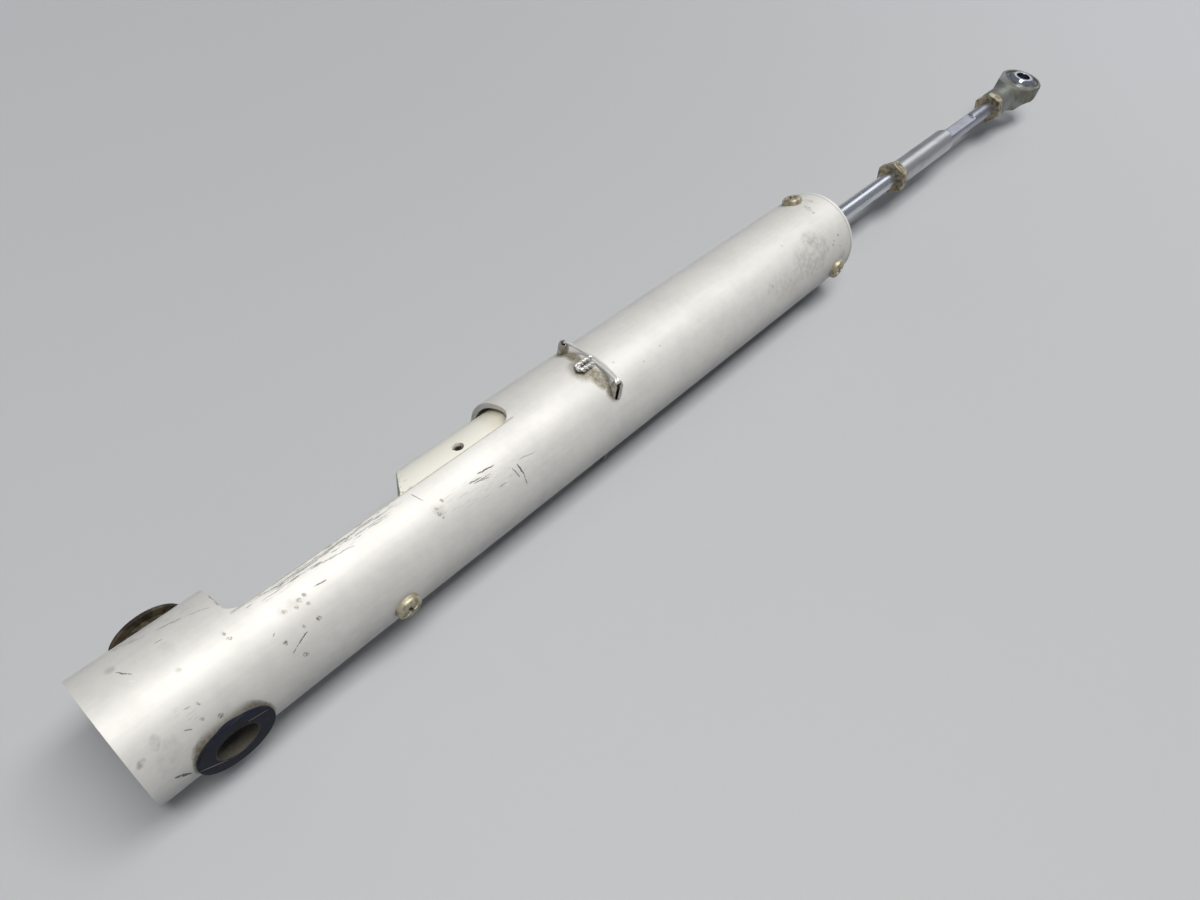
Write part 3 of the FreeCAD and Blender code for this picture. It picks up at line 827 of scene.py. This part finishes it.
def screw_outline():
    """(radius, height) down the outside of a screw, from its top to its tip."""
    flat = SCREW_HEAD_R - SCREW_HEAD_ROUND
    outline = [(flat * i / 20, SCREW_HEAD - SCREW_DOME * (i / 20) ** 2) for i in range(1, 21)]
    low = SCREW_HEAD - SCREW_DOME - SCREW_HEAD_ROUND
    for i in range(1, 7):
        a = math.pi / 2 * i / 6
        outline.append((flat + SCREW_HEAD_ROUND * math.sin(a), low + SCREW_HEAD_ROUND * math.cos(a)))
    outline += [(SCREW_HEAD_R, 0.0), (SCREW_SHANK_R, 0.0), (SCREW_SHANK_R, SCREW_TIP - SCREW_LENGTH)]
    return outline + [(SCREW_SHANK_R - SCREW_TIP, -SCREW_LENGTH)]


def screw_mesh(sides=96):
    """Pan-head screw that stands on z = 0, with a cross recess pressed into its top."""
    outline = screw_outline()
    vertices = [(0.0, 0.0, SCREW_HEAD - RECESS_DEPTH)]
    for radius, height in outline:
        for i in range(sides):
            a = 2 * math.pi * i / sides
            x, y = radius * math.cos(a), radius * math.sin(a)
            top = height > SCREW_HEAD - SCREW_DOME - 0.01
            vertices.append((x, y, height - recess_depth(x, y) if top else height))
    faces = [(0, 1 + i, 1 + (i + 1) % sides) for i in range(sides)]
    for ring in range(len(outline) - 1):
        start = 1 + ring * sides
        for i in range(sides):
            j = (i + 1) % sides
            faces.append((start + i, start + sides + i, start + sides + j, start + j))
    last = 1 + (len(outline) - 1) * sides
    faces.append(tuple(reversed(range(last, last + sides))))
    mesh = bpy.data.meshes.new("screw")
    mesh.from_pydata([Vector(v) * MM for v in vertices], [], faces)
    depths = mesh.attributes.new("recess", "FLOAT", "POINT")
    flat = SCREW_HEAD_R - SCREW_HEAD_ROUND + 0.01
    for point, depth in zip(vertices, depths.data):
        in_top = point[2] > 0 and math.hypot(point[0], point[1]) < flat
        depth.value = recess_depth(point[0], point[1]) / RECESS_DEPTH if in_top else 0.0
    return mesh


def screws(name, seats, *replaced):
    """Screws on their seats: each seat is x, the angle round the tube and the recess's turn."""
    pattern = bpy.data.objects.new("screw_pattern", screw_mesh())
    bpy.context.scene.collection.objects.link(pattern)
    points = bpy.data.meshes.new("screw_seats")
    places = [Vector((x, 0, 0)) + around(angle) * tube_high.y for x, angle, _ in seats]
    points.from_pydata(places, [], [])
    points.attributes.new("out", "FLOAT_VECTOR", "POINT")
    points.attributes.new("turn", "FLOAT", "POINT")
    for i, (_, angle, twist) in enumerate(seats):
        points.attributes["out"].data[i].vector = around(angle)
        points.attributes["turn"].data[i].value = math.radians(twist)
    shape = Shape("screws")
    named = "GeometryNodeInputNamedAttribute"
    outward = shape.node(named, {"data_type": "FLOAT_VECTOR"}, {"Name": "out"})
    twist = shape.node(named, {"data_type": "FLOAT"}, {"Name": "turn"})
    facing = shape.node("FunctionNodeAlignRotationToVector", {"axis": "Z"}, {"Vector": outward})
    spin = shape.node("FunctionNodeEulerToRotation", inputs={0: shape.vector(0.0, 0.0, twist)})
    turned = shape.node("FunctionNodeRotateRotation", {"rotation_space": "LOCAL"}, {0: facing, 1: spin})
    screw = shape.node("GeometryNodeObjectInfo", inputs={"Object": pattern}, output="Geometry")
    inputs = {"Points": shape.base, "Instance": screw, "Rotation": turned}
    placed = shape.node("GeometryNodeInstanceOnPoints", inputs=inputs)
    mesh = shape.mesh(placed, cadmium, points, name)
    bpy.data.objects.remove(pattern)
    piece(name, mesh, *replaced)


def pin_section(radius, height, steps=28):
    """Outline of an open C at a height, its slit towards +X."""
    points = []
    for r, order in ((radius, 1), (PIN_BORE_R, -1)):
        start = math.asin(PIN_SLIT / 2 / r)
        angles = [start + (2 * math.pi - 2 * start) * i / steps for i in range(steps + 1)]
        points += [(r * math.cos(a), r * math.sin(a), height) for a in angles[::order]]
    return points


def roll_pin(work, middle, axis, slit, length):
    """Add a slotted spring pin with chamfered ends to a mesh in the making."""
    half = length / 2
    rings = [(PIN_R - PIN_CHAMFER, -half), (PIN_R, 2.5 * PIN_CHAMFER - half),
             (PIN_R, half - 2.5 * PIN_CHAMFER), (PIN_R - PIN_CHAMFER, half)]
    turn = Matrix((slit, axis.cross(slit), axis)).transposed()
    loops = []
    for radius, height in rings:
        section = [middle + turn @ (Vector(point) * MM) for point in pin_section(radius, height)]
        loops.append([work.verts.new(point) for point in section])
    count = len(loops[0])
    for low, high in zip(loops, loops[1:]):
        for i in range(count):
            j = (i + 1) % count
            work.faces.new((low[i], low[j], high[j], high[i]))
    for i in range(count // 2 - 1):
        j = count - 1 - i
        work.faces.new((loops[0][i], loops[0][j], loops[0][j - 1], loops[0][i + 1]))
        work.faces.new((loops[-1][i], loops[-1][i + 1], loops[-1][j - 1], loops[-1][j]))


def pins(name, places, *replaced):
    """Several spring pins in one piece; each place is middle, axis, slit direction, length."""
    work = bmesh.new()
    for place in places:
        roll_pin(work, *place)
    bmesh.ops.recalc_face_normals(work, faces=work.faces)
    mesh = bpy.data.meshes.new(name)
    work.to_mesh(mesh)
    work.free()
    mesh.materials.append(pin_steel)
    piece(name, smooth(mesh), *replaced)


def stop_pins():
    up = Vector((0, 0, 1))
    places = []
    for node, angle in (("stop_pin_near", NEAR_SLIT_ANGLE), ("stop_pin_far", FAR_SLIT_ANGLE)):
        low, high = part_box(node)
        slit = Vector((math.cos(math.radians(angle)), math.sin(math.radians(angle)), 0))
        places.append((centre(node), up, slit, (high.z - low.z) / MM))
    pins("stop_pins_finished", places, "stop_pin_near", "stop_pin_far")


def shaft_pins():
    low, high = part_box("collar_pin")
    along = Vector((1, 0, 0))
    places = [(centre("slider_pin"), around(SLIDER_PIN_ANGLE), along, SLIDER_PIN_LENGTH),
              (centre("collar_pin"), around(0.0), along, (high.z - low.z) / MM)]
    pins("shaft_pins_finished", places, "slider_pin", "collar_pin")


def route_mesh(name, *routes):
    """Mesh of edges only, a chain for each route of points."""
    vertices = [point for route in routes for point in route]
    edges = []
    start = 0
    for route in routes:
        edges += [(start + i, start + i + 1) for i in range(len(route) - 1)]
        start += len(route)
    mesh = bpy.data.meshes.new(name)
    mesh.from_pydata(vertices, edges, [])
    return mesh


def safety_wire():
    """A strand from pin to pin, a second one from its bend, and the twisted pigtail folded down."""
    _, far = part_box("stop_pin_far")
    x = centre("stop_pin_far").x / MM
    y = centre("stop_pin_far").y / MM
    top = far.z / MM
    ride = top + WIRE_R + 0.15
    deep = top - WIRE_DIP
    strand = [(x + 0.1, y + 0.2, deep), (x + 0.1, y + 0.2, ride - 0.2), (x + 0.6, y - 1.4, ride - 0.1),
              (x + 1.9, 0.4, ride), (x + 1.7, -4.0, ride), (x + 0.9, -y + 1.2, ride - 0.1),
              (x + 0.45, -y, ride - 0.3), (x + 0.45, -y, deep)]
    second = [(x + 0.9, 0.4, ride - 0.1), (x + 0.85, -4.0, ride - 0.1), (x + 0.1, -y + 1.2, ride - 0.2),
              (x - 0.38, -y + 0.1, ride - 0.4), (x - 0.38, -y + 0.1, deep)]
    shape = Shape("wire", Radius=WIRE_R, Bend=WIRE_BEND)
    wire = shape.tube(shape.route(shape.size["Bend"]), shape.size["Radius"], 12)
    routes = [[Vector(point) * MM for point in route] for route in (strand, second)]
    piece("safety_wire_strands", shape.mesh(wire, wire_steel, route_mesh("strands", *routes), "strands"),
          "safety_wire")

    crown = tube_radius + 2 * PIGTAIL_STRAND_R + 0.05
    fold = [(x + 0.9, 0.8, crown + 0.35), (x - 1.0, 1.1, crown + 0.1), (x - 4.9, 1.1, crown),
            (x - 4.9, -1.0, crown), (x - 1.2, -1.0, crown), (x - 0.2, -0.9, crown)]
    pair = Shape("pigtail", Strand=PIGTAIL_STRAND_R, Pitch=PIGTAIL_PITCH, Bend=1.1)
    inputs = {"Curve": pair.route(pair.size["Bend"]), "Length": 0.12 * MM}
    smooth_route = pair.node("GeometryNodeResampleCurve", {"mode": "LENGTH"}, inputs)
    length = pair.node("GeometryNodeSplineParameter", output="Length")
    normal = pair.node("GeometryNodeInputNormal")
    side = pair.vector_math("CROSS_PRODUCT", pair.node("GeometryNodeInputTangent"), normal)
    strands = []
    for phase in (0.0, math.pi):
        angle = length / pair.size["Pitch"] * (2 * math.pi) + phase
        across = pair.node("ShaderNodeVectorMath", {"operation": "SCALE"},
                           {0: normal, "Scale": pair.math("COSINE", angle) * pair.size["Strand"]})
        beside = pair.node("ShaderNodeVectorMath", {"operation": "SCALE"},
                           {0: side, "Scale": pair.math("SINE", angle) * pair.size["Strand"]})
        inputs = {"Geometry": smooth_route, "Offset": pair.vector_math("ADD", across, beside)}
        laid = pair.node("GeometryNodeSetPosition", inputs=inputs)
        strands.append(pair.tube(laid, pair.size["Strand"], 10))
    base = route_mesh("fold", [Vector(point) * MM for point in fold])
    twisted = pair.mesh(pair.join(*strands), twist_steel, base, "pigtail")
    piece("safety_wire_pigtail", twisted, "safety_wire")


def spring(node, start, end, moving_end):
    """Compression spring with closed, ground ends, between housing and shaft."""
    _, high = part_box(node)
    outer = high.z / MM
    shape = Shape("spring", Start=start / MM, Length=(end - start) / MM, Outer=outer, Wire=SPRING_WIRE_R)
    begin, length, wire = shape.size["Start"], shape.size["Length"], shape.size["Wire"]
    line = shape.node("GeometryNodeCurvePrimitiveLine", inputs={"End": (1.0, 0.0, 0.0)})
    inputs = {"Curve": line, "Count": int(SPRING_TURNS * SPRING_STEPS)}
    even = shape.node("GeometryNodeResampleCurve", {"mode": "COUNT"}, inputs)
    turns = shape.node("GeometryNodeSplineParameter", output="Factor") * SPRING_TURNS
    first = shape.math("MINIMUM", turns, 1.0)
    last = shape.math("MAXIMUM", turns - (SPRING_TURNS - 1), 0.0)
    open_turns = turns - first - last
    pitch = (length - wire * (4 + 2 * SPRING_INSET)) / (SPRING_TURNS - 2)
    along = begin + wire * SPRING_INSET + (first + last) * wire * 2 + open_turns * pitch
    radius = shape.size["Outer"] - wire
    angle = turns * (2 * math.pi)
    place = shape.vector(along, shape.math("SINE", angle) * radius, shape.math("COSINE", angle) * radius)
    bent = shape.node("GeometryNodeSetPosition", inputs={"Geometry": even, "Position": place})
    coil = shape.tube(bent, wire, 14)
    x, y, z = shape.parts(shape.node("GeometryNodeInputPosition"))
    ground = shape.math("MINIMUM", shape.math("MAXIMUM", x, begin), begin + length)
    inputs = {"Geometry": coil, "Position": shape.vector(ground, y, z)}
    flat = shape.node("GeometryNodeSetPosition", inputs=inputs)
    made = bpy.data.objects.new(node + "_finished", shape.mesh(flat, pin_steel, route_mesh(node), node))
    bpy.context.scene.collection.objects.link(made)
    ends = [(start, 0, 0), (end, 0, 0)]
    if moving_end == "start":
        ends.reverse()
    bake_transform(made)
    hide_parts(node)


# Stage

def seen(tree):
    """1 for what is seen directly, in a reflection or through something, and 0 for bounced light."""
    shown = 0.0
    for ray in ("Is Camera Ray", "Is Glossy Ray", "Is Transmission Ray"):
        shown = tree.math("MAXIMUM", shown, tree.node("ShaderNodeLightPath", output=ray))
    return shown


def floor(height):
    """A pale floor, which shows as pale beyond the lamps' reach as in the middle."""
    mesh = bpy.data.meshes.new("floor")
    half = FLOOR_SIZE / 2
    corners = [(-half, -half), (half, -half), (half, half), (-half, half)]
    mesh.from_pydata([(x, y, height) for x, y in corners], [], [(0, 1, 2, 3)])
    finish = Finish("floor")
    shown = seen(finish)
    x, y, _ = finish.parts(finish.place)
    from_middle = finish.vector((x - FLOOR_MIDDLE) / FLOOR_LIT, y / FLOOR_LIT, 0.0)
    squared = finish.vector_math("DOT_PRODUCT", from_middle, from_middle, output="Value")
    lit = finish.math("DIVIDE", 1.0, squared + 1.0)
    glow = finish.mix(shown * (1.0 - lit * lit), (0.0, 0.0, 0.0), FLOOR_GLOW)
    mesh.materials.append(finish.made(finish.mix(shown, FLOOR_BOUNCE, FLOOR_COLOUR), 0.65,
                                      **{"Emission Color": glow, "Emission Strength": 1.0}))
    made = bpy.data.objects.new("floor", mesh)
    bpy.context.scene.collection.objects.link(made)


def softbox(name, place, aim, length, width, power, colour):
    """Rectangular area light at a place, facing a point."""
    light = bpy.data.lights.new(name, "AREA")
    light.shape = "RECTANGLE"
    light.size = length
    light.size_y = width
    light.energy = power
    light.color = colour
    made = bpy.data.objects.new(name, light)
    made.location = place
    made.rotation_euler = (Vector(aim) - Vector(place)).to_track_quat("-Z", "Y").to_euler()
    bpy.context.scene.collection.objects.link(made)


def studio():
    world = bpy.data.worlds.new("studio")
    world.use_nodes = True
    sky = Tree(world.node_tree)
    background = world.node_tree.nodes["Background"]
    background.inputs["Color"].default_value = (*WORLD_COLOUR, 1.0)
    strength = WORLD_STRENGTH + seen(sky) * (WORLD_SEEN - WORLD_STRENGTH)
    world.node_tree.links.new(strength.socket, background.inputs["Strength"])
    bpy.context.scene.world = world
    for lamp in SOFTBOXES:
        softbox(*lamp)


def camera():
    lens = bpy.data.cameras.new("camera")
    lens.sensor_width = CAMERA_SENSOR
    lens.lens = CAMERA_LENS
    lens.clip_start = 0.01
    made = bpy.data.objects.new("camera", lens)
    look = (CAMERA_TARGET - CAMERA_EYE).to_track_quat("-Z", "Y")
    made.rotation_euler = (look @ Quaternion((0, 0, 1), CAMERA_ROLL)).to_euler()
    made.location = CAMERA_EYE
    bpy.context.scene.collection.objects.link(made)
    bpy.context.scene.camera = made


tube_metal = anodised("tube_anodised", tube_radius, (0.82, 0.81, 0.775), (0.70, 0.69, 0.665),
                      scuffed=True)
cap_metal = anodised("cap_anodised", tube_radius, (0.86, 0.855, 0.84), (0.80, 0.795, 0.78))
near_plastic = black_plastic("black_plastic", (0.012, 0.014, 0.030), (0.05, 0.045, 0.035), 0.25,
                             FLANGE_SCRATCHES)
far_plastic = black_plastic("black_plastic_dirty", (0.035, 0.03, 0.022), (0.12, 0.10, 0.065), 0.8)
ivory = ivory_plastic()
cadmium = plated("cadmium_plate", (0.56, 0.52, 0.40), (0.30, 0.25, 0.16), 0.38, 1.6, 0.6)
nut_plate = plated("nut_plate", (0.42, 0.37, 0.26), (0.17, 0.14, 0.09), 0.24, 1.6, 0.9)
pin_steel = plated("pin_steel", (0.50, 0.48, 0.44), (0.30, 0.27, 0.22), 0.26, 2.0)
# both wire finishes paint shade on the wire's lower side, below these heights
wire_steel = lock_wire("lock_wire", 15.7, 16.1, 0.6)
twist_steel = lock_wire("lock_wire_twist", 16.3, 17.3, 0.9)
rod_end_plate = plated("rod_end_plate", (0.26, 0.275, 0.26), (0.20, 0.19, 0.145), 0.40, 6.0, 0.75)
bronze = plated("aged_bronze", (0.22, 0.17, 0.11), (0.06, 0.05, 0.05), 0.34)
race_steel = plated("race_steel", (0.13, 0.13, 0.14), (0.05, 0.05, 0.055), 0.30, 2.0)
bar = polished("ground_bar", (0.62, 0.64, 0.68), 0.20)
sleeve_metal = polished("drawn_sleeve", (0.58, 0.58, 0.59), 0.33, (60.0, 1.6, 1.6))
stud_metal = polished("worn_stud", (0.44, 0.45, 0.50), 0.30, (40.0, 1.0, 1.0))
chrome = polished("ball_chrome", (0.44, 0.45, 0.50), 0.08)
seat_metal = anodised("turned_aluminium", tube_radius, (0.80, 0.80, 0.79), (0.70, 0.70, 0.69))

outer_tube()
dressed("end_cap", 0.12, cap_metal)
dressed("cap_bushing", 0.10, bronze)
dressed("pivot_bushing_near", 0.15, near_plastic)
dressed("pivot_bushing_far", 0.15, far_plastic)
dressed("rear_spring_seat", 0.15, seat_metal)
dressed("front_spring_seat", 0.15, seat_metal)
dressed("push_rod", 0.20, bar)
dressed("slider", 0.30, ivory)
dressed("spring_collar", 0.30, seat_metal)
dressed("adjuster_jam_nut", 0.22, nut_plate)
dressed("adjuster_coupling", 0.15, sleeve_metal)
dressed("rod_end_stud", 0.12, stud_metal)
dressed("rod_end_jam_nut", 0.22, nut_plate)
forged("rod_end_body", rod_end_plate)
dressed("rod_end_race", 0.10, race_steel)
dressed("rod_end_ball", 0.10, chrome)
cap_x = centre("cap_screws").x
cap_seats = [(cap_x, angle, turn) for angle, turn in zip(CAP_SCREW_ANGLES, CAP_SCREW_TURNS)]
screws("cap_screws_finished", cap_seats, "cap_screws")
stop_seat = (centre("stop_screw").x, STOP_SCREW_ANGLE, STOP_SCREW_TURN)
screws("stop_screw_finished", [stop_seat], "stop_screw")
stop_pins()
shaft_pins()
safety_wire()
for node, moving_end in (("rear_spring", "end"), ("front_spring", "start")):
    low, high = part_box(node)
    spring(node, low.x, high.x, moving_end)

bpy.context.scene.view_settings.view_transform = "Standard"
floor(cad_box[0][2])
studio()
camera()
